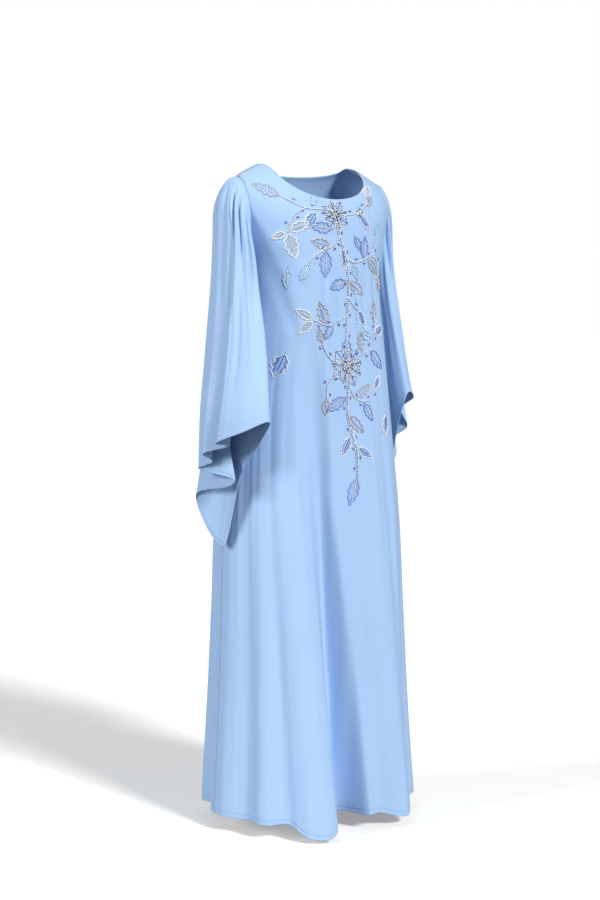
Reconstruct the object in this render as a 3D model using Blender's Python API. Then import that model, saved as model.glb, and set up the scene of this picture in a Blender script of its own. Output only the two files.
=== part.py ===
"""A floor-length jalabiya with a round neck and wide cascading sleeves, held up at the shoulders.

Metres, +Z up. The front faces -Y and the wearer's right is -X. The origin lies midway between
the two neck points of the shoulder seams, which is where the wearer's shoulders hold it.
"""

import math
from collections import namedtuple

import bpy
from mathutils import Vector

# Cloth and seams
WALL = 0.0018
SEAM_GAP = 0.0003

# Neck and shoulders
NECK_HALF_WIDTH = 0.118
NECK_FRONT_DROP = 0.082
NECK_BACK_DROP = 0.020
NECK_FULLNESS = 0.85
SHOULDER_HALF_WIDTH = 0.180
SHOULDER_CURVE = 1.65
SHOULDER_Y = 0.020
CHEST_ROUNDING_MIDDLE = 0.170
CHEST_ROUNDING_SHOULDER = 0.100

# Armhole
UNDERARM_Z = -0.220
ARMHOLE_INSET = 0.020

# Body below the armhole
GATHER_Z = -0.270
NORMAL_MARGIN = 0.004
HEM_Z = -1.462
SECTION_POWER = 2.4

# Columns of cloth: degrees round the body from the centre front, where each stretch of the top edge ends
NECK_POINT_TURN = 29.0
SHOULDER_TIP_TURN = 50.0
ARMHOLE_SPREAD = 1.25

# Grids. A sleeve's columns meet a body panel's at every SLEEVE_SHARE-th one, all along the armhole.
ARMHOLE_COLUMNS = 11
SHOULDER_COLUMNS = 3
NECK_COLUMNS = 10
BODY_ROWS = 17
BODY_ROW_SPACING = 1.45
SLEEVE_SHARE = 3
SLEEVE_ROWS = 13
SLEEVE_ROW_SPACING = 1.35

Section = namedtuple("Section", "z half_width front_depth back_depth")
BODY_SECTIONS = (
    Section(0.040, 0.204, 0.112, 0.092),
    Section(-0.030, 0.200, 0.118, 0.098),
    Section(-0.080, 0.197, 0.125, 0.104),
    Section(-0.170, 0.178, 0.133, 0.110),
    Section(-0.220, 0.166, 0.136, 0.112),
    Section(-0.300, 0.165, 0.138, 0.113),
    Section(-0.400, 0.178, 0.141, 0.117),
    Section(-0.600, 0.200, 0.152, 0.134),
    Section(-0.800, 0.217, 0.167, 0.152),
    Section(-1.000, 0.222, 0.181, 0.162),
    Section(-1.200, 0.227, 0.194, 0.174),
    Section(-1.500, 0.240, 0.214, 0.190),
)

# Folds of the body. Turns are degrees from the centre front, positive towards the wearer's right.
# A fold drifts from top_turn at its start height to hem_turn at the hem. Depth is outwards at the hem.
Fold = namedtuple("Fold", "top_turn hem_turn width depth start_z hem_drop")
BODY_FOLDS = (
    Fold(20.0, 2.0, 9.5, -0.084, -0.34, 0.000),
    Fold(2.0, -16.0, 16.0, -0.010, -0.38, 0.000),
    Fold(31.0, 13.0, 8.0, 0.010, -0.40, 0.006),
    Fold(42.0, 21.0, 17.0, 0.030, -0.28, 0.028),
    Fold(-8.0, -30.0, 18.0, 0.016, -0.34, 0.018),
    Fold(52.0, 41.0, 9.0, -0.007, -0.45, 0.000),
    Fold(58.0, 52.0, 11.0, 0.006, -0.40, 0.002),
    Fold(68.0, 67.0, 12.0, -0.010, -0.40, 0.000),
    Fold(86.0, 87.0, 13.0, 0.012, -0.45, 0.000),
    Fold(104.0, 107.0, 11.0, -0.020, -0.45, 0.000),
    Fold(120.0, 123.0, 12.0, 0.010, -0.50, 0.000),
    Fold(136.0, 137.0, 13.0, -0.020, -0.40, 0.000),
    Fold(152.0, 153.0, 15.0, 0.024, -0.30, 0.004),
    Fold(176.0, 172.0, 17.0, -0.026, -0.34, 0.000),
    Fold(-156.0, -163.0, 18.0, 0.022, -0.30, 0.006),
    Fold(-136.0, -138.0, 15.0, -0.022, -0.42, 0.000),
    Fold(-114.0, -116.0, 15.0, 0.022, -0.45, 0.002),
    Fold(-96.0, -96.0, 11.0, -0.018, -0.55, 0.000),
    Fold(-76.0, -74.0, 14.0, 0.018, -0.45, 0.002),
    Fold(-56.0, -52.0, 12.0, -0.012, -0.40, 0.004),
)
FOLD_GROWTH = 1.15

# A level ring round the sleeve. Out is the distance from the middle plane of the body.
Ring = namedtuple("Ring", "z out y half_width half_depth")
RIGHT_RINGS = (
    Ring(-0.030, 0.197, 0.010, 0.018, 0.045),
    Ring(-0.090, 0.198, 0.002, 0.024, 0.058),
    Ring(-0.170, 0.203, -0.020, 0.030, 0.068),
    Ring(-0.280, 0.213, -0.038, 0.033, 0.082),
    Ring(-0.430, 0.236, -0.070, 0.036, 0.110),
    Ring(-0.570, 0.262, -0.098, 0.038, 0.120),
    Ring(-0.860, 0.272, -0.100, 0.042, 0.120),
)
LEFT_RINGS = (
    Ring(-0.030, 0.197, 0.012, 0.018, 0.045),
    Ring(-0.090, 0.198, 0.020, 0.024, 0.055),
    Ring(-0.170, 0.201, 0.029, 0.029, 0.060),
    Ring(-0.300, 0.212, 0.038, 0.032, 0.068),
    Ring(-0.490, 0.236, 0.050, 0.035, 0.083),
    Ring(-0.620, 0.256, 0.052, 0.038, 0.093),
    Ring(-0.860, 0.272, 0.054, 0.042, 0.100),
)
RING_POWER = 2.3

# The crests and valleys of a sleeve's hem, in order round it. Turns are degrees from the outer side,
# positive towards the front.
HemPoint = namedtuple("HemPoint", "turn out y z")
RIGHT_HEM = (
    HemPoint(172.0, 0.236, -0.036, -0.850),
    HemPoint(148.0, 0.228, -0.096, -0.692),
    HemPoint(126.0, 0.224, -0.172, -0.614),
    HemPoint(106.0, 0.232, -0.226, -0.566),
    HemPoint(80.0, 0.278, -0.194, -0.587),
    HemPoint(46.0, 0.308, -0.127, -0.614),
    HemPoint(27.0, 0.278, -0.138, -0.620),
    HemPoint(-5.0, 0.313, -0.079, -0.640),
    HemPoint(-20.0, 0.290, -0.082, -0.657),
    HemPoint(-44.0, 0.299, -0.036, -0.676),
    HemPoint(-83.0, 0.252, -0.112, -0.696),
    HemPoint(-96.0, 0.254, -0.090, -0.712),
    HemPoint(-143.0, 0.280, 0.013, -0.742),
)
LEFT_HEM = (
    HemPoint(156.0, 0.234, 0.014, -0.735),
    HemPoint(128.0, 0.228, -0.030, -0.610),
    HemPoint(106.0, 0.234, -0.062, -0.523),
    HemPoint(78.0, 0.272, -0.034, -0.534),
    HemPoint(54.0, 0.258, -0.004, -0.562),
    HemPoint(32.0, 0.284, 0.008, -0.605),
    HemPoint(8.0, 0.264, 0.036, -0.632),
    HemPoint(-22.0, 0.288, 0.056, -0.669),
    HemPoint(-48.0, 0.258, 0.034, -0.694),
    HemPoint(-70.0, 0.262, 0.062, -0.708),
    HemPoint(-120.0, 0.288, 0.150, -0.745),
    HemPoint(-166.0, 0.240, 0.080, -0.845),
)
HEM_FOLD_GROWTH = 1.5

# Pleats that open from the sleeve cap: narrow valleys, deepest just below the seam
Pleat = namedtuple("Pleat", "turn width depth length")
CAP_PLEATS = (
    Pleat(44.0, 12.0, 0.007, 0.42),
    Pleat(70.0, 12.0, 0.007, 0.60),
    Pleat(95.0, 12.0, 0.004, 0.62),
    Pleat(14.0, 12.0, 0.005, 0.45),
    Pleat(-22.0, 12.0, 0.006, 0.50),
    Pleat(-52.0, 12.0, 0.007, 0.45),
    Pleat(-78.0, 12.0, 0.007, 0.50),
)
PLEAT_OPENING = 0.10
CAP_DROP = 0.085
CAP_STEP = 0.004
ARMHOLE_LEAN = 20.0

COLOUR = (0.40, 0.63, 0.90, 1.0)
ROUGHNESS = 0.75


def clamp(value):
    return min(max(value, 0.0), 1.0)


def ease(value):
    """A smooth step from 0 to 1."""
    part = clamp(value)
    return part * part * (3.0 - 2.0 * part)


def quarter(value):
    """A quarter circle from 0 to 1, steep at its start."""
    return math.sqrt(1.0 - (1.0 - clamp(value)) ** 2)


def bump(distance):
    """A soft hump, 1 in its middle and 0 from a distance of 1."""
    return (1.0 - distance * distance) ** 2 if abs(distance) < 1.0 else 0.0


def turn_between(turn, other):
    """The signed difference of two turns, in degrees."""
    return (turn - other + 180.0) % 360.0 - 180.0


def hermite(low, high, slope_low, slope_high, part, span):
    square = part * part
    cube = square * part
    return (
        (2 * cube - 3 * square + 1) * low
        + (cube - 2 * square + part) * span * slope_low
        + (3 * square - 2 * cube) * high
        + (cube - square) * span * slope_high
    )


def read(rows, key, column, place):
    """The column of a table at a place between its rows, which run downwards, as a smooth curve."""
    keys = [getattr(row, key) for row in rows]
    values = [getattr(row, column) for row in rows]
    place = min(max(place, keys[-1]), keys[0])
    step = next(i for i in range(len(keys) - 1) if place >= keys[i + 1])

    def slope(i):
        low, high = max(i - 1, 0), min(i + 1, len(keys) - 1)
        return (values[high] - values[low]) / (keys[high] - keys[low])

    span = keys[step + 1] - keys[step]
    part = (place - keys[step]) / span
    return hermite(values[step], values[step + 1], slope(step), slope(step + 1), part, span)


def shoulder_z(x):
    """Height of the shoulder seam, carried on over the neck."""
    return SHOULDER_CURVE * (NECK_HALF_WIDTH**2 - x * x)


def armhole_part(from_top):
    """How far along the armhole a sleeve's column starts, from its turn off the outer side."""
    return (from_top - ARMHOLE_LEAN * math.sin(math.radians(from_top))) / 180.0


def armhole(part):
    """(x, z) on the left armhole, from the shoulder tip at 0 to the underarm at 1."""
    top = shoulder_z(SHOULDER_HALF_WIDTH)
    z = (top + UNDERARM_Z) / 2 + (top - UNDERARM_Z) / 2 * math.cos(math.pi * part)
    inset = ARMHOLE_INSET * (1 + math.cos(math.pi * part)) / 2
    return read(BODY_SECTIONS, "z", "half_width", z) - inset, z


def top_edge(from_middle, front):
    """(x, z) at the top of the column this many degrees from a panel's middle, on the wearer's left."""
    if from_middle < NECK_POINT_TURN:
        angle = math.pi / 2 * from_middle / NECK_POINT_TURN
        drop = NECK_FRONT_DROP if front else NECK_BACK_DROP
        return NECK_HALF_WIDTH * math.sin(angle), -drop * math.cos(angle) ** NECK_FULLNESS
    if from_middle < SHOULDER_TIP_TURN:
        part = (from_middle - NECK_POINT_TURN) / (SHOULDER_TIP_TURN - NECK_POINT_TURN)
        x = NECK_HALF_WIDTH + (SHOULDER_HALF_WIDTH - NECK_HALF_WIDTH) * part
        return x, shoulder_z(x)
    spread = (from_middle - SHOULDER_TIP_TURN) / (90.0 - SHOULDER_TIP_TURN)
    return armhole(min(spread ** (1.0 / ARMHOLE_SPREAD), 1.0))


def body_y(x, z, front):
    """How far the smooth body stands out in front or behind at (x, z)."""
    half_width = read(BODY_SECTIONS, "z", "half_width", z)
    depth = read(BODY_SECTIONS, "z", "front_depth" if front else "back_depth", z)
    across = min(abs(x) / half_width, 1.0)
    reach = depth * (1.0 - across**SECTION_POWER) ** (1.0 / SECTION_POWER)
    toward_tip = min(abs(x) / SHOULDER_HALF_WIDTH, 1.0) ** 2
    rounding = CHEST_ROUNDING_MIDDLE + (CHEST_ROUNDING_SHOULDER - CHEST_ROUNDING_MIDDLE) * toward_tip
    rise = quarter((shoulder_z(x) - z) / rounding)
    ridge = SHOULDER_Y * (1.0 - across**8) * (1.0 - rise)
    return ridge - reach * rise if front else ridge + reach * rise


def fold_depth(turn, z):
    """How far the folds move the body's cloth outwards."""
    total = 0.0
    for fold in BODY_FOLDS:
        fall = clamp((fold.start_z - z) / (fold.start_z - HEM_Z))
        middle = fold.top_turn + turn_between(fold.hem_turn, fold.top_turn) * fall
        total += fold.depth * fall**FOLD_GROWTH * bump(turn_between(turn, middle) / fold.width)
    return total


def hem_z(turn):
    drops = (fold.hem_drop * bump(turn_between(turn, fold.hem_turn) / fold.width) for fold in BODY_FOLDS)
    return HEM_Z - sum(drops)


def body_surface(angle, z):
    """The outside of the body's cloth at an angle round its section, positive on the wearer's right."""
    angle = turn_between(angle, 0.0)
    turn = math.radians(angle)
    across = abs(math.sin(turn)) ** (2.0 / SECTION_POWER)
    x = -math.copysign(read(BODY_SECTIONS, "z", "half_width", z) * across, angle)
    y = body_y(x, z, abs(angle) <= 90.0)
    out = fold_depth(angle, z)
    return Vector((x - out * math.sin(turn), y - out * math.cos(turn), z))


def body_normal(angle, z):
    """The outward direction of the body's cloth."""
    x = body_surface(angle, z).x
    level = min(z, shoulder_z(x) - NORMAL_MARGIN)
    across = body_surface(angle + 0.3, level) - body_surface(angle - 0.3, level)
    down = body_surface(angle, level - 0.001) - body_surface(angle, level + 0.001)
    return across.cross(down).normalized()


def column_place(local, front, part):
    """(angle, z) part of the way down the column this many degrees from a panel's middle."""
    from_middle = abs(local)
    top_x, top_z = top_edge(from_middle, front)
    half_width = read(BODY_SECTIONS, "z", "half_width", top_z)
    top_angle = math.degrees(math.asin(min(abs(top_x) / half_width, 1.0) ** (SECTION_POWER / 2.0)))
    turn = local if front else turn_between(local, 180.0)
    z = top_z + (hem_z(turn) - top_z) * part**BODY_ROW_SPACING
    gathered = clamp((top_z - z) / (top_z - GATHER_Z))
    angle = top_angle + (from_middle - top_angle) * (1.0 - (1.0 - gathered) ** 3)
    angle = math.copysign(angle, local)
    return (angle if front else turn_between(angle, 180.0)), z


def sleeve_start(turn, side):
    """Where the sleeve's column at this turn leaves the armhole: on the straight edge between two body columns."""
    place = abs(turn) / 180.0 * ARMHOLE_COLUMNS
    first = min(int(place + 1e-6), ARMHOLE_COLUMNS - 1)
    ends = []
    for knot in (first, first + 1):
        x, z = armhole(armhole_part(180.0 * knot / ARMHOLE_COLUMNS))
        ends.append(Vector((side * x, body_y(x, z, turn >= 0.0), z)))
    return ends[0].lerp(ends[1], place - first)


def hem_point(rows, turn, side):
    """The sleeve's hem at this turn, on a closed smooth curve through the table's points."""
    count = len(rows)
    step = next(i for i in range(count) if turn_in_span(turn, rows[i].turn, rows[(i + 1) % count].turn))
    around = [rows[(step + i) % count] for i in (-1, 0, 1, 2)]
    places = [turn_between(row.turn, around[1].turn) for row in around]
    span = places[2]
    part = turn_between(turn, around[1].turn) / span

    def value(column):
        values = [getattr(row, column) for row in around]
        slope_low = (values[2] - values[0]) / (places[2] - places[0])
        slope_high = (values[3] - values[1]) / (places[3] - places[1])
        return hermite(values[1], values[2], slope_low, slope_high, part, span)

    return Vector((side * value("out"), value("y"), value("z")))


def turn_in_span(turn, high, low):
    """Whether a turn lies between two neighbouring table turns, which run downwards."""
    return turn_between(high, turn) >= 0.0 and turn_between(turn, low) > 0.0


def ring_point(rings, turn, z, side):
    angle = math.radians(turn)
    out = read(rings, "z", "out", z)
    half_width = read(rings, "z", "half_width", z)
    half_depth = read(rings, "z", "half_depth", z)
    across = math.copysign(abs(math.cos(angle)) ** (2.0 / RING_POWER), math.cos(angle))
    along = math.copysign(abs(math.sin(angle)) ** (2.0 / RING_POWER), math.sin(angle))
    return Vector((side * (out + half_width * across), read(rings, "z", "y", z) - half_depth * along, z))


def pleat_depth(turn, part):
    total = 0.0
    for pleat in CAP_PLEATS:
        fade = ease(part / PLEAT_OPENING) * ease((pleat.length - part) / (pleat.length - PLEAT_OPENING))
        total += pleat.depth * fade * bump(turn_between(turn, pleat.turn) / pleat.width)
    return total


def sleeve_point(rings, hem, side, turn, part):
    """The outside of a sleeve's cloth, part of the way down the column at this turn."""
    start = sleeve_start(turn, side)
    end = hem_point(hem, turn, side)
    z = start.z + (end.z - start.z) * part
    smooth = ring_point(rings, turn, z, side)
    reach = quarter((start.z - z) / CAP_DROP)
    x = start.x + (smooth.x - start.x) * reach
    y = start.y + (smooth.y - start.y) * reach
    angle = math.radians(turn)
    inwards = pleat_depth(turn, part)
    growth = part**HEM_FOLD_GROWTH
    last = ring_point(rings, turn, end.z, side)
    x += (end.x - last.x) * growth - side * inwards * math.cos(angle)
    y += (end.y - last.y) * growth + inwards * math.sin(angle)
    return Vector((x, y, z))


def surface_normal(point, turn, part, outwards):
    """The outward direction of a surface given as a function of turn and part."""
    turn_step = 0.25
    part_step = 0.002
    low, high = max(part - part_step, 0.0), min(part + part_step, 1.0)
    across = point(turn + turn_step, part) - point(turn - turn_step, part)
    down = point(turn, high) - point(turn, low)
    return across.cross(down).normalized() * outwards


def add_piece(name, collection, material, outside, inside, closed):
    """A wall between two grids of points: their faces and the rims that join them."""
    rows, columns = len(outside), len(outside[0])
    points = [point for grid in (outside, inside) for row in grid for point in row]
    size = rows * columns

    def at(row, column):
        return row * columns + column % columns

    faces = []

    def add_strip(first, second, third, fourth):
        """Both skins of one patch of cloth, split along the same diagonal."""
        for corners in ((first, second, third), (first, third, fourth)):
            faces.append(corners)
            faces.append(tuple(size + corner for corner in reversed(corners)))

    def add_rim(first, second):
        """The cut edge of the cloth, split from the lower number outside to the higher inside."""
        if first < second:
            faces.append((first, second, size + second))
            faces.append((first, size + second, size + first))
        else:
            faces.append((first, second, size + first))
            faces.append((second, size + second, size + first))

    last = columns if closed else columns - 1
    for row in range(rows - 1):
        for column in range(last):
            add_strip(at(row, column), at(row + 1, column), at(row + 1, column + 1), at(row, column + 1))
    for column in range(last):
        add_rim(at(0, column), at(0, column + 1))
        add_rim(at(rows - 1, column + 1), at(rows - 1, column))
    if not closed:
        for row in range(rows - 1):
            add_rim(at(row + 1, 0), at(row, 0))
            add_rim(at(row, columns - 1), at(row + 1, columns - 1))
    mesh = bpy.data.meshes.new(name)
    mesh.from_pydata(points, [], faces)
    mesh.shade_smooth()
    mesh.materials.append(material)
    piece = bpy.data.objects.new(name, mesh)
    collection.objects.link(piece)
    return piece


def panel_turns():
    """Turns of a body panel's columns, from the wearer's right side seam to the left one."""
    half = [NECK_POINT_TURN * i / NECK_COLUMNS for i in range(NECK_COLUMNS)]
    seam = SHOULDER_TIP_TURN - NECK_POINT_TURN
    half += [NECK_POINT_TURN + seam * i / SHOULDER_COLUMNS for i in range(SHOULDER_COLUMNS)]
    for knot in range(ARMHOLE_COLUMNS + 1):
        part = armhole_part(180.0 * knot / ARMHOLE_COLUMNS)
        half.append(SHOULDER_TIP_TURN + (90.0 - SHOULDER_TIP_TURN) * part**ARMHOLE_SPREAD)
    return half[:0:-1] + [-turn for turn in half]


def add_body_panel(name, collection, material, front):
    """The front or the back panel. They meet at the side and shoulder seams."""
    outside, inside = [], []
    toward_panel = -SEAM_GAP / 2 if front else SEAM_GAP / 2
    for row in range(BODY_ROWS + 1):
        outer_row, inner_row = [], []
        for local in panel_turns():
            angle, z = column_place(local, front, row / BODY_ROWS)
            point = body_surface(angle, z)
            outwards = body_normal(angle, z)
            on_shoulder = row == 0 and NECK_POINT_TURN <= abs(local) <= SHOULDER_TIP_TURN
            if on_shoulder:
                outwards = Vector((2.0 * SHOULDER_CURVE * point.x, 0.0, 1.0)).normalized()
            if on_shoulder or abs(local) == 90.0:
                point.y += toward_panel
            outer_row.append(point)
            inner_row.append(point - outwards * WALL)
        outside.append(outer_row)
        inside.append(inner_row)
    return add_piece(name, collection, material, outside, inside, False)


def add_sleeve(name, collection, material, rings, hem, side):
    """A sleeve. Side is -1 for the wearer's right and 1 for the left."""

    def point(turn, part):
        return sleeve_point(rings, hem, side, turn_between(turn, 0.0), part)

    outside, inside = [], []
    columns = 2 * ARMHOLE_COLUMNS * SLEEVE_SHARE
    turns = [180.0 - 360.0 * column / columns for column in range(columns)]
    if side > 0:
        turns.reverse()
    for row in range(-1, SLEEVE_ROWS + 1):
        part = (max(row, 0) / SLEEVE_ROWS) ** SLEEVE_ROW_SPACING
        outer_row, inner_row = [], []
        for turn in turns:
            place = point(turn, part)
            outwards = surface_normal(point, turn, max(part, 0.01), -side)
            if row < 1:
                outwards = Vector((0.0, outwards.y, outwards.z)).normalized()
            shift = SEAM_GAP if row < 0 else SEAM_GAP + CAP_STEP
            place.x += side * shift
            outer_row.append(place)
            inner_row.append(place - outwards * WALL)
        outside.append(outer_row)
        inside.append(inner_row)
    return add_piece(name, collection, material, outside, inside, True)


def make_material(name):
    material = bpy.data.materials.new(name)
    material.use_nodes = True
    shader = material.node_tree.nodes["Principled BSDF"]
    shader.inputs["Base Color"].default_value = COLOUR
    shader.inputs["Roughness"].default_value = ROUGHNESS
    shader.inputs["Metallic"].default_value = 0.0
    return material


def main():
    for old in list(bpy.data.objects):
        bpy.data.objects.remove(old)
    collection = bpy.data.collections.new("jalabiya")
    bpy.context.scene.collection.children.link(collection)
    add_body_panel("front", collection, make_material("front_crepe"), True)
    add_body_panel("back", collection, make_material("back_crepe"), False)
    add_sleeve("sleeve_right", collection, make_material("sleeve_right_crepe"), RIGHT_RINGS, RIGHT_HEM, -1.0)
    add_sleeve("sleeve_left", collection, make_material("sleeve_left_crepe"), LEFT_RINGS, LEFT_HEM, 1.0)


main()
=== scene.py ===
"""Looks of a floor-length jalabiya: crepe cloth with soft folds, stitched hems and a beaded vine.

Metres, +Z up. The front faces -Y and the wearer's right is -X, as in the solids. The cloth repeats
the solids' sizes at a finer step, and adds creases, pleats, hems and needlework of its own.
"""

import math
from collections import namedtuple

import bpy
import numpy as np
from mathutils import Matrix, Vector
from mathutils.bvhtree import BVHTree

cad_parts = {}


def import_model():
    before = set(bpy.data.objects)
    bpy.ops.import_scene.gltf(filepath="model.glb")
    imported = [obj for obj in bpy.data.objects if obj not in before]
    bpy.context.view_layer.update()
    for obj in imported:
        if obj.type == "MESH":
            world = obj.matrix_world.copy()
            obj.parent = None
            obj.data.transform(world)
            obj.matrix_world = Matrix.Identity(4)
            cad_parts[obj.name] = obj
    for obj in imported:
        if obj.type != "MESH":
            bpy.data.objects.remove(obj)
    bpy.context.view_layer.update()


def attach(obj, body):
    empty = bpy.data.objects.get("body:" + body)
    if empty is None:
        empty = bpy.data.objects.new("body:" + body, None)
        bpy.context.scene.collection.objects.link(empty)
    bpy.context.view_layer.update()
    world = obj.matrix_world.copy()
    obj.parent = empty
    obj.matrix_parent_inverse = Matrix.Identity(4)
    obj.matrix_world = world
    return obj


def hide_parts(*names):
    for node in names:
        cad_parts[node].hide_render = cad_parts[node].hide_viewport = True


# Neck, shoulders and armhole, as in the solids
NECK_HALF_WIDTH = 0.118
NECK_FRONT_DROP = 0.082
NECK_BACK_DROP = 0.020
NECK_FULLNESS = 0.85
SHOULDER_HALF_WIDTH = 0.180
SHOULDER_CURVE = 1.65
SHOULDER_Y = 0.020
CHEST_ROUNDING_MIDDLE = 0.170
CHEST_ROUNDING_SHOULDER = 0.100
UNDERARM_Z = -0.220
ARMHOLE_INSET = 0.020
SEAM_GAP = 0.0003

# Body below the armhole, as in the solids
GATHER_Z = -0.270
HEM_Z = -1.462
SECTION_POWER = 2.4
NECK_POINT_TURN = 29.0
SHOULDER_TIP_TURN = 50.0
ARMHOLE_SPREAD = 1.25

Section = namedtuple("Section", "z half_width front_depth back_depth")
BODY_SECTIONS = (
    Section(0.040, 0.204, 0.112, 0.092),
    Section(-0.030, 0.200, 0.118, 0.098),
    Section(-0.080, 0.197, 0.125, 0.104),
    Section(-0.170, 0.178, 0.133, 0.110),
    Section(-0.220, 0.166, 0.136, 0.112),
    Section(-0.300, 0.165, 0.138, 0.113),
    Section(-0.400, 0.178, 0.141, 0.117),
    Section(-0.600, 0.200, 0.152, 0.134),
    Section(-0.800, 0.217, 0.167, 0.152),
    Section(-1.000, 0.222, 0.181, 0.162),
    Section(-1.200, 0.227, 0.194, 0.174),
    Section(-1.500, 0.240, 0.214, 0.190),
)

# Turns are degrees from the centre front, positive towards the wearer's right
Fold = namedtuple("Fold", "top_turn hem_turn width depth start_z hem_drop")
BODY_FOLDS = (
    Fold(20.0, 2.0, 9.5, -0.084, -0.34, 0.000),
    Fold(2.0, -16.0, 16.0, -0.010, -0.38, 0.000),
    Fold(31.0, 13.0, 8.0, 0.010, -0.40, 0.006),
    Fold(42.0, 21.0, 17.0, 0.030, -0.28, 0.028),
    Fold(-8.0, -30.0, 18.0, 0.016, -0.34, 0.018),
    Fold(52.0, 41.0, 9.0, -0.007, -0.45, 0.000),
    Fold(58.0, 52.0, 11.0, 0.006, -0.40, 0.002),
    Fold(68.0, 67.0, 12.0, -0.010, -0.40, 0.000),
    Fold(86.0, 87.0, 13.0, 0.012, -0.45, 0.000),
    Fold(104.0, 107.0, 11.0, -0.020, -0.45, 0.000),
    Fold(120.0, 123.0, 12.0, 0.010, -0.50, 0.000),
    Fold(136.0, 137.0, 13.0, -0.020, -0.40, 0.000),
    Fold(152.0, 153.0, 15.0, 0.024, -0.30, 0.004),
    Fold(176.0, 172.0, 17.0, -0.026, -0.34, 0.000),
    Fold(-156.0, -163.0, 18.0, 0.022, -0.30, 0.006),
    Fold(-136.0, -138.0, 15.0, -0.022, -0.42, 0.000),
    Fold(-114.0, -116.0, 15.0, 0.022, -0.45, 0.002),
    Fold(-96.0, -96.0, 11.0, -0.018, -0.55, 0.000),
    Fold(-76.0, -74.0, 14.0, 0.018, -0.45, 0.002),
    Fold(-56.0, -52.0, 12.0, -0.012, -0.40, 0.004),
)
FOLD_GROWTH = 1.15

Ring = namedtuple("Ring", "z out y half_width half_depth")
RIGHT_RINGS = (
    Ring(-0.030, 0.197, 0.010, 0.018, 0.045),
    Ring(-0.090, 0.198, 0.002, 0.024, 0.058),
    Ring(-0.170, 0.203, -0.020, 0.030, 0.068),
    Ring(-0.280, 0.213, -0.038, 0.033, 0.082),
    Ring(-0.430, 0.236, -0.070, 0.036, 0.110),
    Ring(-0.570, 0.262, -0.098, 0.038, 0.120),
    Ring(-0.860, 0.272, -0.100, 0.042, 0.120),
)
LEFT_RINGS = (
    Ring(-0.030, 0.197, 0.012, 0.018, 0.045),
    Ring(-0.090, 0.198, 0.020, 0.024, 0.055),
    Ring(-0.170, 0.201, 0.029, 0.029, 0.060),
    Ring(-0.300, 0.212, 0.038, 0.032, 0.068),
    Ring(-0.490, 0.236, 0.050, 0.035, 0.083),
    Ring(-0.620, 0.256, 0.052, 0.038, 0.093),
    Ring(-0.860, 0.272, 0.054, 0.042, 0.100),
)
RING_POWER = 2.3

HemPoint = namedtuple("HemPoint", "turn out y z")
RIGHT_HEM = (
    HemPoint(172.0, 0.236, -0.036, -0.850),
    HemPoint(148.0, 0.228, -0.096, -0.692),
    HemPoint(126.0, 0.224, -0.172, -0.614),
    HemPoint(106.0, 0.232, -0.226, -0.566),
    HemPoint(80.0, 0.278, -0.194, -0.587),
    HemPoint(46.0, 0.308, -0.127, -0.614),
    HemPoint(27.0, 0.278, -0.138, -0.620),
    HemPoint(-5.0, 0.313, -0.079, -0.640),
    HemPoint(-20.0, 0.290, -0.082, -0.657),
    HemPoint(-44.0, 0.299, -0.036, -0.676),
    HemPoint(-83.0, 0.252, -0.112, -0.696),
    HemPoint(-96.0, 0.254, -0.090, -0.712),
    HemPoint(-143.0, 0.280, 0.013, -0.742),
)
LEFT_HEM = (
    HemPoint(156.0, 0.234, 0.014, -0.735),
    HemPoint(128.0, 0.228, -0.030, -0.610),
    HemPoint(106.0, 0.234, -0.062, -0.523),
    HemPoint(78.0, 0.272, -0.034, -0.534),
    HemPoint(54.0, 0.258, -0.004, -0.562),
    HemPoint(32.0, 0.284, 0.008, -0.605),
    HemPoint(8.0, 0.264, 0.036, -0.632),
    HemPoint(-22.0, 0.288, 0.056, -0.669),
    HemPoint(-48.0, 0.258, 0.034, -0.694),
    HemPoint(-70.0, 0.262, 0.062, -0.708),
    HemPoint(-120.0, 0.288, 0.150, -0.745),
    HemPoint(-166.0, 0.240, 0.080, -0.845),
)
HEM_FOLD_GROWTH = 1.5
CAP_DROP = 0.085
CAP_STEP = 0.004
CAP_STEP_PART = 0.004
ARMHOLE_LEAN = 20.0
PLEAT_OPENING = 0.10

# Pleats of the sleeve cap: the solids' wide valleys with the sharp ones of the real cloth in them
Pleat = namedtuple("Pleat", "turn width depth length")
CAP_PLEATS = (
    Pleat(44.0, 12.0, 0.007, 0.42),
    Pleat(70.0, 12.0, 0.007, 0.60),
    Pleat(95.0, 12.0, 0.004, 0.62),
    Pleat(14.0, 12.0, 0.005, 0.45),
    Pleat(-22.0, 12.0, 0.006, 0.50),
    Pleat(-52.0, 12.0, 0.007, 0.45),
    Pleat(-78.0, 12.0, 0.007, 0.50),
    Pleat(46.0, 4.0, 0.006, 0.30),
    Pleat(71.0, 4.5, 0.008, 0.42),
    Pleat(95.0, 4.5, 0.007, 0.46),
    Pleat(28.0, 4.0, 0.004, 0.26),
    Pleat(-24.0, 4.5, 0.006, 0.34),
    Pleat(-50.0, 4.5, 0.006, 0.32),
    Pleat(-79.0, 4.5, 0.006, 0.36),
)

# Fine cloth
CLOTH = 0.0011
FRONT_GRID = (180, 255)
BACK_GRID = (180, 200)
SLEEVE_GRID = (240, 165)
FINE_ROW_SPACING = 1.2
HEM_START = 0.017
HEM_ROWS = (0.0135, 0.0115, 0.0105, 0.0095, 0.0080, 0.0040, 0.0015)
BODY_HEM = 0.0105
SLEEVE_HEM = 0.0095
NECK_HEM = 0.007
HEM_THICKNESS = 0.0006
STITCH_WIDTH = 0.0010
NECK_STITCH_WIDTH = 0.0015
BODY_LENGTH = 1.40
SLEEVE_LENGTH = 0.60
SLEEVE_RADIUS = 0.075
SIDE_SEAM_FADE = 14.0
RIPPLE_TOP = -0.30
RIPPLE_FADE = 0.25
RIPPLES = ((31.0, 5.0, 0.0005), (57.0, 9.0, 0.0003), (97.0, 13.0, 0.0002))

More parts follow.
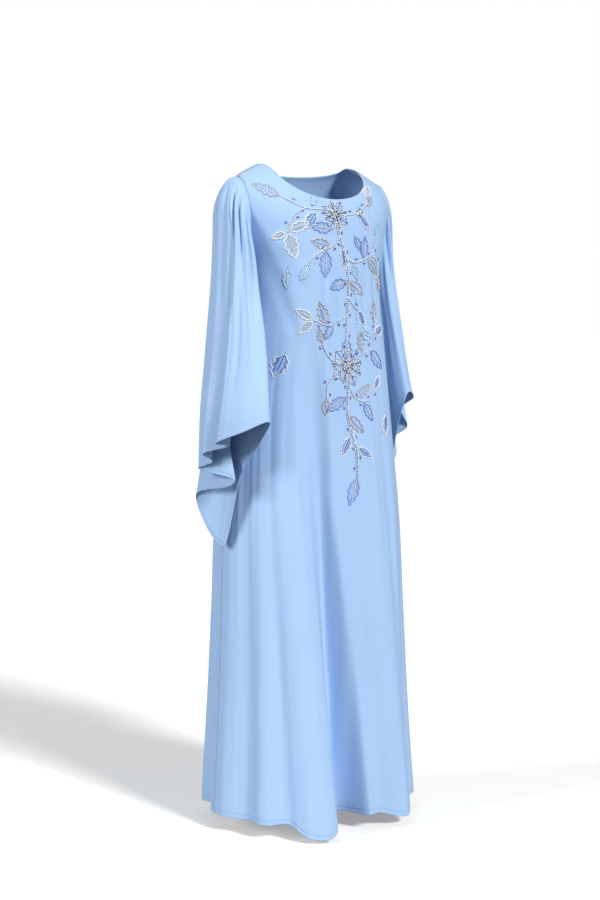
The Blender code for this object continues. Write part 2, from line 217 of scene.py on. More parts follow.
# Creases on the body, from (x0, z0) to (x1, z1). A positive depth stands out, and a negative one sinks in.
Crease = namedtuple("Crease", "x0 z0 x1 z1 width depth")
CREASE_START = 0.3
CREASE_END = 0.4
FRONT_CREASES = (
    Crease(0.082, -0.060, 0.140, -0.160, 0.007, -0.0014),
    Crease(0.070, -0.072, 0.118, -0.170, 0.007, -0.0014),
    Crease(0.056, -0.082, 0.088, -0.160, 0.006, -0.0012),
    Crease(0.096, -0.042, 0.156, -0.130, 0.007, -0.0013),
    Crease(0.108, -0.030, 0.166, -0.100, 0.006, -0.0011),
    Crease(-0.044, -0.240, -0.052, -0.470, 0.010, 0.0032),
    Crease(-0.030, -0.245, -0.030, -0.420, 0.008, -0.0030),
    Crease(-0.016, -0.250, -0.014, -0.400, 0.009, 0.0026),
    Crease(0.004, -0.262, 0.006, -0.440, 0.009, -0.0022),
    Crease(0.034, -0.255, 0.040, -0.430, 0.009, 0.0028),
    Crease(0.048, -0.260, 0.056, -0.450, 0.009, -0.0030),
    Crease(0.064, -0.235, 0.076, -0.440, 0.010, 0.0030),
    Crease(0.084, -0.225, 0.094, -0.400, 0.009, -0.0026),
    Crease(0.104, -0.210, 0.112, -0.420, 0.011, 0.0026),
    Crease(0.128, -0.190, 0.132, -0.400, 0.010, -0.0024),
    Crease(-0.140, -0.150, -0.060, -0.300, 0.020, -0.0026),
    Crease(-0.150, -0.200, -0.100, -0.420, 0.018, 0.0024),
    Crease(-0.090, -0.430, -0.110, -0.900, 0.020, 0.0030),
    Crease(-0.060, -0.480, -0.066, -1.000, 0.018, -0.0028),
    Crease(0.020, -0.520, 0.050, -1.050, 0.018, 0.0028),
    Crease(0.070, -0.480, 0.100, -1.000, 0.020, -0.0028),
    Crease(0.110, -0.500, 0.150, -1.100, 0.020, 0.0030),
    Crease(-0.150, -0.500, -0.180, -1.150, 0.018, -0.0026),
)
BACK_CREASES = (
    Crease(-0.110, -0.020, -0.150, -0.130, 0.008, -0.0020),
    Crease(0.110, -0.020, 0.150, -0.130, 0.008, -0.0020),
    Crease(-0.090, -0.040, -0.120, -0.180, 0.009, -0.0018),
    Crease(0.090, -0.040, 0.120, -0.180, 0.009, -0.0018),
    Crease(-0.120, -0.180, -0.060, -0.400, 0.018, -0.0028),
    Crease(0.130, -0.190, 0.070, -0.420, 0.018, -0.0028),
    Crease(-0.060, -0.200, -0.050, -0.460, 0.014, 0.0028),
    Crease(0.050, -0.220, 0.046, -0.480, 0.014, 0.0028),
    Crease(-0.010, -0.180, 0.000, -0.440, 0.013, -0.0026),
    Crease(0.020, -0.240, 0.022, -0.500, 0.011, 0.0024),
    Crease(-0.100, -0.450, -0.130, -0.950, 0.020, 0.0030),
    Crease(-0.040, -0.500, -0.050, -1.050, 0.018, -0.0028),
    Crease(0.050, -0.520, 0.070, -1.000, 0.018, -0.0028),
    Crease(0.120, -0.460, 0.150, -1.050, 0.020, 0.0030),
)

# Creases on the sleeves, from (turn0, z0) to (turn1, z1)
SLEEVE_CREASES = (
    Crease(58.0, -0.060, 52.0, -0.420, 0.010, 0.0028),
    Crease(84.0, -0.080, 84.0, -0.520, 0.010, 0.0030),
    Crease(34.0, -0.050, 30.0, -0.380, 0.009, -0.0026),
    Crease(18.0, -0.060, 16.0, -0.450, 0.010, 0.0026),
    Crease(2.0, -0.050, 4.0, -0.400, 0.009, -0.0022),
    Crease(-14.0, -0.060, -12.0, -0.480, 0.010, 0.0026),
    Crease(-38.0, -0.060, -36.0, -0.500, 0.010, 0.0026),
    Crease(-66.0, -0.080, -66.0, -0.520, 0.010, 0.0028),
    Crease(-100.0, -0.120, -104.0, -0.560, 0.012, -0.0028),
    Crease(112.0, -0.140, 108.0, -0.480, 0.010, 0.0026),
    Crease(64.0, -0.260, 62.0, -0.540, 0.009, -0.0026),
    Crease(44.0, -0.300, 40.0, -0.560, 0.010, 0.0028),
    Crease(130.0, -0.260, 128.0, -0.520, 0.012, -0.0024),
)

# The vine on the front: main stem, side stems, leaves and flowers at (x, z)
STEM = (
    (-0.004, -0.130), (0.000, -0.165), (0.012, -0.200), (0.020, -0.245), (0.021, -0.290),
    (0.017, -0.335), (0.014, -0.385), (0.018, -0.430), (0.020, -0.470), (0.013, -0.515),
    (0.012, -0.560), (0.022, -0.600), (0.034, -0.645), (0.034, -0.700),
)
SIDE_STEMS = (
    ((-0.010, -0.108), (-0.040, -0.106), (-0.075, -0.104), (-0.105, -0.092), (-0.125, -0.080)),
    ((-0.078, -0.104), (-0.100, -0.116), (-0.114, -0.134), (-0.120, -0.154)),
    ((0.008, -0.118), (0.035, -0.116), (0.062, -0.108), (0.084, -0.092), (0.092, -0.070)),
    ((0.000, -0.165), (-0.012, -0.182), (-0.034, -0.194), (-0.060, -0.206), (-0.074, -0.222)),
    ((0.018, -0.215), (0.040, -0.222), (0.066, -0.216), (0.090, -0.206), (0.104, -0.186), (0.108, -0.166)),
    ((0.090, -0.206), (0.112, -0.212), (0.122, -0.236)),
    ((0.016, -0.340), (-0.006, -0.352), (-0.034, -0.362), (-0.066, -0.350)),
    ((0.020, -0.300), (0.034, -0.316), (0.046, -0.326)),
    ((0.022, -0.446), (0.050, -0.430), (0.078, -0.418), (0.096, -0.392), (0.104, -0.360)),
    ((0.010, -0.455), (-0.014, -0.446), (-0.036, -0.428), (-0.046, -0.404)),
    ((0.006, -0.464), (-0.020, -0.474), (-0.038, -0.494), (-0.040, -0.520)),
    ((0.018, -0.496), (0.030, -0.520), (0.052, -0.532), (0.076, -0.528), (0.092, -0.508)),
)
Leaf = namedtuple("Leaf", "x z turn length width style")
LEAVES = (
    Leaf(-0.125, -0.080, 148.0, 0.050, 0.022, "gold"),
    Leaf(-0.066, -0.104, 60.0, 0.032, 0.015, "turquoise"),
    Leaf(-0.052, -0.110, -130.0, 0.044, 0.024, "white"),
    Leaf(-0.120, -0.156, -75.0, 0.056, 0.026, "cream"),
    Leaf(-0.120, -0.156, 25.0, 0.044, 0.020, "cream"),
    Leaf(-0.120, -0.156, -150.0, 0.026, 0.013, "cream"),
    Leaf(-0.014, -0.150, 172.0, 0.052, 0.022, "periwinkle"),
    Leaf(0.056, -0.112, -48.0, 0.044, 0.018, "white"),
    Leaf(0.080, -0.096, 35.0, 0.034, 0.016, "gold"),
    Leaf(0.092, -0.070, 110.0, 0.040, 0.018, "cream"),
    Leaf(0.092, -0.070, 40.0, 0.030, 0.014, "cream"),
    Leaf(-0.020, -0.188, 165.0, 0.046, 0.020, "gold"),
    Leaf(-0.034, -0.194, -95.0, 0.056, 0.026, "periwinkle"),
    Leaf(-0.074, -0.222, -118.0, 0.040, 0.017, "turquoise"),
    Leaf(0.006, -0.186, -80.0, 0.046, 0.018, "white"),
    Leaf(0.040, -0.160, -60.0, 0.036, 0.015, "periwinkle"),
    Leaf(0.066, -0.216, 82.0, 0.048, 0.022, "periwinkle"),
    Leaf(0.078, -0.212, -40.0, 0.046, 0.020, "gold"),
    Leaf(0.108, -0.166, 70.0, 0.030, 0.014, "turquoise"),
    Leaf(0.034, -0.222, -70.0, 0.036, 0.015, "turquoise"),
    Leaf(0.020, -0.262, -160.0, 0.046, 0.022, "periwinkle"),
    Leaf(0.022, -0.262, -35.0, 0.048, 0.022, "gold"),
    Leaf(0.046, -0.326, -60.0, 0.044, 0.022, "white"),
    Leaf(-0.034, -0.362, 112.0, 0.052, 0.024, "gold"),
    Leaf(-0.020, -0.356, -120.0, 0.036, 0.016, "periwinkle"),
    Leaf(-0.066, -0.350, 150.0, 0.040, 0.018, "cream"),
    Leaf(-0.066, -0.350, -140.0, 0.040, 0.018, "cream"),
    Leaf(0.014, -0.385, -90.0, 0.052, 0.022, "periwinkle"),
    Leaf(0.104, -0.360, 95.0, 0.050, 0.024, "gold"),
    Leaf(0.098, -0.382, 20.0, 0.042, 0.020, "white"),
    Leaf(0.094, -0.392, 160.0, 0.036, 0.018, "turquoise"),
    Leaf(0.060, -0.426, 100.0, 0.044, 0.018, "gold"),
    Leaf(0.082, -0.416, -45.0, 0.056, 0.025, "periwinkle"),
    Leaf(-0.046, -0.404, 105.0, 0.034, 0.015, "gold"),
    Leaf(-0.040, -0.520, -95.0, 0.034, 0.015, "gold"),
    Leaf(0.012, -0.520, -150.0, 0.056, 0.022, "periwinkle"),
    Leaf(0.034, -0.524, 32.0, 0.048, 0.020, "gold"),
    Leaf(0.056, -0.532, -60.0, 0.046, 0.019, "periwinkle"),
    Leaf(0.092, -0.508, 55.0, 0.034, 0.018, "white"),
    Leaf(0.012, -0.560, -45.0, 0.054, 0.022, "gold"),
    Leaf(0.020, -0.606, -120.0, 0.050, 0.020, "white"),
    Leaf(0.034, -0.632, -35.0, 0.042, 0.018, "white"),
    Leaf(0.034, -0.700, -112.0, 0.062, 0.026, "periwinkle"),
    Leaf(-0.118, -0.232, -92.0, 0.044, 0.013, "turquoise"),
    Leaf(-0.128, -0.420, -112.0, 0.056, 0.026, "white"),
    Leaf(0.134, -0.560, -95.0, 0.048, 0.020, "white"),
    Leaf(0.120, -0.240, -80.0, 0.040, 0.014, "gold"),
)
Flower = namedtuple("Flower", "x z radius petals")
FLOWERS = (
    Flower(-0.006, -0.118, 0.035, 8),
    Flower(0.016, -0.452, 0.046, 9),
    Flower(0.062, -0.110, 0.011, 5),
)
STEM_BEAD = 0.0019
STEM_PITCH = 0.0046
SPRIG_STEP = 0.024
LEAF_POINTS = 40
LEAF_LOBES = 4
THREAD = 0.0011

# Camera, floor and lights
CAMERA_TURN = 32.0
CAMERA_DISTANCE = 4.0
CAMERA_Z = -0.343
CAMERA_TILT = 4.37
CAMERA_SIDE = -0.016
CAMERA_LENS = 69.6
FLOOR_Z = -1.500
FLOOR_REACH = 60.0
Sun = namedtuple("Sun", "place strength softness colour")
SUNS = {
    "key": Sun((0.12, -0.80, 0.56), 3.6, 12.0, (1.0, 0.985, 0.95)),
    "side": Sun((-0.92, 0.08, 0.37), 2.2, 24.0, (1.0, 0.99, 0.97)),
}


def ease(value):
    part = np.clip(value, 0.0, 1.0)
    return part * part * (3.0 - 2.0 * part)


def quarter(value):
    return np.sqrt(1.0 - (1.0 - np.clip(value, 0.0, 1.0)) ** 2)


def bump(distance):
    return np.clip(1.0 - distance * distance, 0.0, None) ** 2


def turn_between(turn, other):
    return (turn - other + 180.0) % 360.0 - 180.0


def read(rows, key, column, place):
    """The column of a table at places between its rows, which run downwards, as a smooth curve."""
    keys = np.array([getattr(row, key) for row in rows])
    values = np.array([getattr(row, column) for row in rows])
    place = np.clip(place, keys[-1], keys[0])
    step = np.clip(np.searchsorted(-keys, -place, side="right") - 1, 0, len(keys) - 2)
    low = np.maximum(np.arange(len(keys)) - 1, 0)
    high = np.minimum(np.arange(len(keys)) + 1, len(keys) - 1)
    slope = (values[high] - values[low]) / (keys[high] - keys[low])
    span = keys[step + 1] - keys[step]
    part = (place - keys[step]) / span
    square, cube = part**2, part**3
    return (
        (2 * cube - 3 * square + 1) * values[step]
        + (cube - 2 * square + part) * span * slope[step]
        + (3 * square - 2 * cube) * values[step + 1]
        + (cube - square) * span * slope[step + 1]
    )


def shoulder_z(x):
    return SHOULDER_CURVE * (NECK_HALF_WIDTH**2 - x * x)


def armhole(part):
    """(x, z) on the left armhole, from the shoulder tip at 0 to the underarm at 1."""
    top = shoulder_z(SHOULDER_HALF_WIDTH)
    z = (top + UNDERARM_Z) / 2 + (top - UNDERARM_Z) / 2 * np.cos(math.pi * part)
    inset = ARMHOLE_INSET * (1 + np.cos(math.pi * part)) / 2
    return read(BODY_SECTIONS, "z", "half_width", z) - inset, z


def top_edge(from_middle, front):
    """(x, z) at the top of the columns so many degrees from a panel's middle, on the wearer's left."""
    angle = math.pi / 2 * np.minimum(from_middle / NECK_POINT_TURN, 1.0)
    drop = NECK_FRONT_DROP if front else NECK_BACK_DROP
    neck_z = -drop * np.clip(np.cos(angle), 0.0, 1.0) ** NECK_FULLNESS
    seam_turn = SHOULDER_TIP_TURN - NECK_POINT_TURN
    along = np.clip((from_middle - NECK_POINT_TURN) / seam_turn, 0.0, 1.0)
    seam_x = NECK_HALF_WIDTH + (SHOULDER_HALF_WIDTH - NECK_HALF_WIDTH) * along
    spread = np.clip((from_middle - SHOULDER_TIP_TURN) / (90.0 - SHOULDER_TIP_TURN), 0.0, 1.0)
    hole_x, hole_z = armhole(spread ** (1.0 / ARMHOLE_SPREAD))
    on_neck = from_middle < NECK_POINT_TURN
    on_seam = from_middle < SHOULDER_TIP_TURN
    x = np.where(on_neck, NECK_HALF_WIDTH * np.sin(angle), np.where(on_seam, seam_x, hole_x))
    z = np.where(on_neck, neck_z, np.where(on_seam, shoulder_z(seam_x), hole_z))
    return x, z


def body_y(x, z, front):
    """How far the smooth body stands out in front or behind at (x, z)."""
    half_width = read(BODY_SECTIONS, "z", "half_width", z)
    front_depth = read(BODY_SECTIONS, "z", "front_depth", z)
    back_depth = read(BODY_SECTIONS, "z", "back_depth", z)
    across = np.minimum(np.abs(x) / half_width, 1.0)
    depth = np.where(front, front_depth, back_depth)
    reach = depth * (1.0 - across**SECTION_POWER) ** (1.0 / SECTION_POWER)
    toward_tip = np.minimum(np.abs(x) / SHOULDER_HALF_WIDTH, 1.0) ** 2
    rounding = CHEST_ROUNDING_MIDDLE + (CHEST_ROUNDING_SHOULDER - CHEST_ROUNDING_MIDDLE) * toward_tip
    rise = quarter((shoulder_z(x) - z) / rounding)
    ridge = SHOULDER_Y * (1.0 - across**8) * (1.0 - rise)
    return ridge + np.where(front, -1.0, 1.0) * reach * rise


def fold_depth(turn, z):
    total = np.zeros_like(z)
    for fold in BODY_FOLDS:
        fall = np.clip((fold.start_z - z) / (fold.start_z - HEM_Z), 0.0, 1.0)
        middle = fold.top_turn + turn_between(fold.hem_turn, fold.top_turn) * fall
        total += fold.depth * fall**FOLD_GROWTH * bump(turn_between(turn, middle) / fold.width)
    return total


def hem_z(turn):
    drops = (fold.hem_drop * bump(turn_between(turn, fold.hem_turn) / fold.width) for fold in BODY_FOLDS)
    return HEM_Z - sum(drops)


def body_points(turns, parts, front):
    """The outside of a panel's cloth: rows are parts of the way down, columns are turns from its middle."""
    from_middle = np.abs(turns)
    top_x, top_z = top_edge(from_middle, front)
    half_width = read(BODY_SECTIONS, "z", "half_width", top_z)
    top_angle = np.degrees(np.arcsin(np.minimum(top_x / half_width, 1.0) ** (SECTION_POWER / 2.0)))
    around = turns if front else turn_between(turns, 180.0)
    z = top_z + (hem_z(around) - top_z) * parts[:, None]
    gathered = np.clip((top_z - z) / (top_z - GATHER_Z), 0.0, 1.0)
    angle = top_angle + (from_middle - top_angle) * (1.0 - (1.0 - gathered) ** 3)
    angle = np.sign(turns) * angle
    if not front:
        angle = turn_between(angle, 180.0)
    turn = np.radians(angle)
    across = np.abs(np.sin(turn)) ** (2.0 / SECTION_POWER)
    x = -np.sign(angle) * read(BODY_SECTIONS, "z", "half_width", z) * across
    out = fold_depth(angle, z)
    y = body_y(x, z, front)
    return np.stack([x - out * np.sin(turn), y - out * np.cos(turn), z], axis=-1)


def around_hem(rows):
    """A hem's table carried on round it both ways, so that its curve closes."""
    before = [row._replace(turn=row.turn + 360.0) for row in rows[-2:]]
    after = [row._replace(turn=row.turn - 360.0) for row in rows[:2]]
    return [*before, *rows, *after]


def ring_points(rings, turn, z):
    angle = np.radians(turn)
    across = np.copysign(np.abs(np.cos(angle)) ** (2.0 / RING_POWER), np.cos(angle))
    along = np.copysign(np.abs(np.sin(angle)) ** (2.0 / RING_POWER), np.sin(angle))
    x = read(rings, "z", "out", z) + read(rings, "z", "half_width", z) * across
    return x, read(rings, "z", "y", z) - read(rings, "z", "half_depth", z) * along


def sleeve_points(rings, hem, side, turns, parts):
    """The outside of a sleeve's cloth on a grid of rows (parts down) and columns (turns)."""
    start_x, start_z = armhole(
        (np.abs(turns) - ARMHOLE_LEAN * np.sin(np.radians(np.abs(turns)))) / 180.0
    )
    start_y = body_y(start_x, start_z, turns >= 0.0)
    loop = around_hem(hem)
    end_x, end_y, end_z = (read(loop, "turn", column, turns) for column in ("out", "y", "z"))
    down = parts[:, None]
    z = start_z + (end_z - start_z) * down
    smooth_x, smooth_y = ring_points(rings, turns, z)
    reach = quarter((start_z - z) / CAP_DROP)
    x = start_x + (smooth_x - start_x) * reach
    y = start_y + (smooth_y - start_y) * reach
    inwards = np.zeros_like(z)
    for pleat in CAP_PLEATS:
        closing = (pleat.length - down) / (pleat.length - PLEAT_OPENING)
        fade = ease(down / PLEAT_OPENING) * ease(closing)
        inwards += pleat.depth * fade * bump(turn_between(turns, pleat.turn) / pleat.width)
    angle = np.radians(turns)
    last_x, last_y = ring_points(rings, turns, end_z)
    growth = down**HEM_FOLD_GROWTH
    x += (end_x - last_x) * growth - inwards * np.cos(angle)
    y += (end_y - last_y) * growth + inwards * np.sin(angle)
    x += SEAM_GAP + CAP_STEP * ease(down / CAP_STEP_PART)
    return np.stack([side * x, y, z], axis=-1)


def grid_normals(points, closed):
    """Outward or inward directions of a grid of points, one each."""
    if closed:
        across = np.roll(points, -1, axis=1) - np.roll(points, 1, axis=1)
    else:
        across = np.gradient(points, axis=1)
    normals = np.cross(across, np.gradient(points, axis=0))
    return normals / np.maximum(np.linalg.norm(normals, axis=-1, keepdims=True), 1e-12)


def crease_depth(places, heights, creases):
    """How far creases move the cloth, at grids of level places and heights in metres."""
    total = np.zeros_like(heights)
    for crease in creases:
        run = np.array([crease.x1 - crease.x0, crease.z1 - crease.z0])
        length = np.linalg.norm(run)
        offset_x, offset_z = places - crease.x0, heights - crease.z0
        along = (offset_x * run[0] + offset_z * run[1]) / length**2
        off = np.abs(offset_x * run[1] - offset_z * run[0]) / length
        ends = ease(along / CREASE_START) * ease((1.0 - along) / CREASE_END)
        total += crease.depth * ends * bump(off / crease.width)
    return total


def ripple_depth(around, heights, seed):
    """Slight unevenness of hanging cloth: long soft waves that run down it."""
    total = np.zeros_like(heights)
    for number, (fine, slow, depth) in enumerate(RIPPLES):
        shift = seed * 1.7 + number * 2.3
        sway = 0.9 * np.sin(slow * heights + shift)
        sway += 0.6 * np.sin(1.9 * slow * heights + 2.0 * shift)
        strength = 0.6 + 0.4 * np.sin(0.5 * slow * heights + 3.0 * shift + 4.0 * around)
        total += depth * strength * np.sin(fine * around + sway + shift)
    return total


def row_parts(count, length):
    """Parts of the way down at each row, with a few rows close together for the stitched hem."""
    hem_parts = 1.0 - np.array(HEM_ROWS) / length
    main = np.linspace(0.0, 1.0, count) ** FINE_ROW_SPACING * (1.0 - HEM_START / length)
    return np.concatenate([main, hem_parts, [1.0]])


def cloth_piece(name, points, closed, node, material):
    """A thin shell of cloth: the grid of points outside, and the same grid moved in by its thickness."""
    rows, columns = points.shape[:2]
    inner = points - grid_normals(points, closed) * CLOTH
    size = rows * columns
    index = np.arange(size).reshape(rows, columns)
    if closed:
        index = np.concatenate([index, index[:, :1]], axis=1)
    corners = [index[:-1, :-1], index[1:, :-1], index[1:, 1:], index[:-1, 1:]]
    quads = np.stack(corners, axis=-1).reshape(-1, 4)

    def rim(first, second):
        """The cut edge along two runs of neighbouring points."""
        return np.stack([first, second, second + size, first + size], axis=-1)

    rims = [rim(index[0, :-1], index[0, 1:]), rim(index[-1, 1:], index[-1, :-1])]
    if not closed:
        rims.append(rim(index[1:, 0], index[:-1, 0]))
        rims.append(rim(index[:-1, -1], index[1:, -1]))
    faces = np.concatenate([quads, quads[:, ::-1] + size, *rims])
    both = np.concatenate([points.reshape(-1, 3), inner.reshape(-1, 3)])
    mesh = bpy.data.meshes.new(name)
    mesh.from_pydata(both.tolist(), [], faces.tolist())
    mesh.shade_smooth()
    mesh.materials.append(material)
    piece = bpy.data.objects.new(name, mesh)
    bpy.context.scene.collection.objects.link(piece)
    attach(piece, "root")
    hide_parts(node)
    return piece


def body_cloth(front, material):
    grid = FRONT_GRID if front else BACK_GRID
    turns = np.linspace(90.0, -90.0, grid[0] + 1)
    parts = row_parts(grid[1], BODY_LENGTH)
    points = body_points(turns, parts, front)
    normals = grid_normals(points, False)
    x, z = points[..., 0], points[..., 2]
    fade = ease((90.0 - np.abs(turns)) / SIDE_SEAM_FADE) * ease(parts[:, None] / 0.02)
    creases = crease_depth(x, z, FRONT_CREASES if front else BACK_CREASES)
    around = np.radians(turns)[None, :] + np.zeros_like(z)
    ripples = ripple_depth(around, z, 1.0 if front else 2.0) * ease((RIPPLE_TOP - z) / RIPPLE_FADE)
    depth = (creases + ripples) * fade
    from_hem = z - z[-1:]
    depth += HEM_THICKNESS * ease((BODY_HEM - from_hem) / STITCH_WIDTH + 0.5)
    below_neck = z[:1] - z
    neck_edge = ease((NECK_HEM - below_neck) / NECK_STITCH_WIDTH)
    depth += HEM_THICKNESS * neck_edge * (np.abs(turns) < NECK_POINT_TURN)
    points = points + normals * depth[..., None]
    points[..., 1] += -SEAM_GAP / 2 if front else SEAM_GAP / 2
    node = "front" if front else "back"
    return cloth_piece(f"{node}_cloth", points, False, node, material), points


def sleeve_cloth(node, rings, hem, side, material):
    columns, rows = SLEEVE_GRID
    turns = 180.0 - 360.0 * np.arange(columns) / columns
    if side > 0:
        turns = turns[::-1]
    parts = row_parts(rows, SLEEVE_LENGTH)
    points = sleeve_points(rings, hem, side, turns, parts)
    normals = grid_normals(points, True)
    z = points[..., 2]
    around = np.radians(turns)[None, :] + np.zeros_like(z)
    moved = []
    for crease in SLEEVE_CREASES:
        start = SLEEVE_RADIUS * math.radians(crease.x0)
        end = SLEEVE_RADIUS * math.radians(crease.x1)
        moved.append(crease._replace(x0=start, x1=end))
    depth = crease_depth(SLEEVE_RADIUS * around, z, moved)
    depth += 0.7 * ripple_depth(0.5 * np.sin(around) + 0.4 * np.cos(2.0 * around), z, 3.0 + side)
    depth *= ease(parts[:, None] / 0.04)
    from_hem = (1.0 - parts[:, None]) * np.linalg.norm(points[-1] - points[0], axis=-1)[None, :]
    depth += HEM_THICKNESS * ease((SLEEVE_HEM - from_hem) / STITCH_WIDTH + 0.5)
    points = points + normals * depth[..., None]
    return cloth_piece(f"{node}_cloth", points, True, node, material), points


def new_material(name):
    material = bpy.data.materials.new(name)
    material.use_nodes = True
    return material, material.node_tree, material.node_tree.nodes["Principled BSDF"]


def crepe_material(name, seed):
    """Matte crepe: a fine pebbled grain, faint streaks down it and slight changes of colour."""
    material, tree, shader = new_material(name)
    nodes, links = tree.nodes, tree.links
    place = nodes.new("ShaderNodeTexCoord")
    grain = nodes.new("ShaderNodeTexNoise")
    grain.inputs["Scale"].default_value = 900.0
    grain.inputs["Detail"].default_value = 3.0
    links.new(place.outputs["Object"], grain.inputs["Vector"])
    stretch = nodes.new("ShaderNodeMapping")
    stretch.inputs["Location"].default_value = (seed * 3.1, seed * 1.7, seed)
    stretch.inputs["Scale"].default_value = (1.0, 1.0, 0.06)
    links.new(place.outputs["Object"], stretch.inputs["Vector"])
    streaks = nodes.new("ShaderNodeTexNoise")
    streaks.inputs["Scale"].default_value = 60.0
    streaks.inputs["Detail"].default_value = 4.0
    links.new(stretch.outputs["Vector"], streaks.inputs["Vector"])
    patches = nodes.new("ShaderNodeTexNoise")
    patches.inputs["Scale"].default_value = 7.0
    links.new(place.outputs["Object"], patches.inputs["Vector"])
    first = nodes.new("ShaderNodeMix")
    first.data_type = "RGBA"
    first.inputs["A"].default_value = (0.340, 0.515, 0.780, 1.0)
    first.inputs["B"].default_value = (0.365, 0.540, 0.800, 1.0)
    links.new(patches.outputs["Fac"], first.inputs["Factor"])
    second = nodes.new("ShaderNodeMix")
    second.data_type = "RGBA"
    second.blend_type = "MULTIPLY"
    second.inputs["B"].default_value = (0.93, 0.95, 0.98, 1.0)
    links.new(first.outputs["Result"], second.inputs["A"])
    links.new(streaks.outputs["Fac"], second.inputs["Factor"])
    links.new(second.outputs["Result"], shader.inputs["Base Color"])
    shader.inputs["Roughness"].default_value = 0.72
    shader.inputs["Sheen Weight"].default_value = 0.15
    shader.inputs["Sheen Roughness"].default_value = 0.45
    relief = nodes.new("ShaderNodeBump")
    relief.inputs["Strength"].default_value = 0.22
    relief.inputs["Distance"].default_value = 0.0004
    links.new(grain.outputs["Fac"], relief.inputs["Height"])
    links.new(relief.outputs["Normal"], shader.inputs["Normal"])
    return material


def trim_material(name, colour, roughness, metallic, scale):
    """Thread or bead: one colour with small changes of shade from stitch to stitch."""
    material, tree, shader = new_material(name)
    nodes, links = tree.nodes, tree.links
    place = nodes.new("ShaderNodeTexCoord")
    shade = nodes.new("ShaderNodeTexNoise")
    shade.inputs["Scale"].default_value = scale
    links.new(place.outputs["Object"], shade.inputs["Vector"])
    mix = nodes.new("ShaderNodeMix")
    mix.data_type = "RGBA"
    mix.inputs["A"].default_value = (*[0.62 * value for value in colour], 1.0)
    mix.inputs["B"].default_value = (*[min(1.2 * value, 1.0) for value in colour], 1.0)
    links.new(shade.outputs["Fac"], mix.inputs["Factor"])
    links.new(mix.outputs["Result"], shader.inputs["Base Color"])
    shader.inputs["Roughness"].default_value = roughness
    shader.inputs["Metallic"].default_value = metallic
    return material


Trim = namedtuple("Trim", "colour roughness metallic scale")
TRIMS = {
    "silver_beads": Trim((0.88, 0.88, 0.90), 0.20, 0.30, 420.0),
    "cream_beads": Trim((0.92, 0.87, 0.78), 0.28, 0.10, 420.0),
    "blue_beads": Trim((0.07, 0.14, 0.62), 0.18, 0.10, 420.0),
    "dark_beads": Trim((0.10, 0.12, 0.18), 0.20, 0.55, 420.0),
    "white_thread": Trim((0.96, 0.96, 0.98), 0.50, 0.0, 900.0),
    "periwinkle_thread": Trim((0.20, 0.28, 0.66), 0.50, 0.0, 900.0),
    "turquoise_thread": Trim((0.30, 0.62, 0.86), 0.50, 0.0, 900.0),
    "gold_thread": Trim((0.62, 0.52, 0.42), 0.40, 0.30, 900.0),
    "leaf_organza": Trim((0.30, 0.42, 0.78), 0.55, 0.0, 300.0),
}


class Needlework:
    """Beads and threads laid on the front's cloth, gathered by what they are made of."""

    def __init__(self, tree):
        self.tree = tree
        self.points = {name: [] for name in TRIMS}
        self.faces = {name: [] for name in TRIMS}
        self.ball_points, self.ball_faces = small_ball()

    def on_cloth(self, x, z, lift=0.0):
        """The place on the cloth in front of (x, z), and the cloth's direction there."""
        place, normal, _, _ = self.tree.ray_cast(Vector((x, -1.0, z)), Vector((0.0, 1.0, 0.0)))
        if place is None:
            place, normal, _, _ = self.tree.find_nearest(Vector((x, -0.1, z)))
        if normal.y > 0.0:
            normal = -normal
        return place + normal * lift, normal

    def add(self, trim, points, faces):
        first = len(self.points[trim])
        self.points[trim].extend(points)
        self.faces[trim].extend(tuple(first + corner for corner in face) for face in faces)

    def bead(self, trim, x, z, radius, lift=0.6):
        place, _ = self.on_cloth(x, z, radius * lift)
        self.add(trim, [place + point * radius for point in self.ball_points], self.ball_faces)

    def thread(self, trim, path, radius, lift=0.0):
        """A thread along points (x, z) of the front."""
        spots = [self.on_cloth(x, z, radius * 0.5 + lift) for x, z in path]
        sides = 5
        points, faces = [], []
        for step, (place, normal) in enumerate(spots):
            ahead = spots[min(step + 1, len(spots) - 1)][0] - spots[max(step - 1, 0)][0]
            across = ahead.cross(normal).normalized()
            ends = 0.45 if step in (0, len(spots) - 1) else 1.0
            for side in range(sides):
                angle = 2.0 * math.pi * side / sides
                reach = across * math.cos(angle) + normal * math.sin(angle)
                points.append(place + reach * radius * ends)
        for step in range(len(spots) - 1):
            for side in range(sides):
                low, high = step * sides + side, step * sides + (side + 1) % sides
                faces.append((low, high, high + sides, low + sides))
        faces.append(tuple(range(sides)))
        faces.append(tuple(reversed(range(len(points) - sides, len(points)))))
        self.add(trim, points, faces)

    def finish(self):
        """One object for each trim."""
        made = []
        for trim, points in self.points.items():
            if not points:
                continue
            mesh = bpy.data.meshes.new(f"vine_{trim}")
            mesh.from_pydata(points, [], self.faces[trim])
            mesh.shade_smooth()
            mesh.materials.append(trim_material(trim, *TRIMS[trim]))
            piece = bpy.data.objects.new(f"vine_{trim}", mesh)
            bpy.context.scene.collection.objects.link(piece)
            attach(piece, "root")
            made.append(piece)
        return made


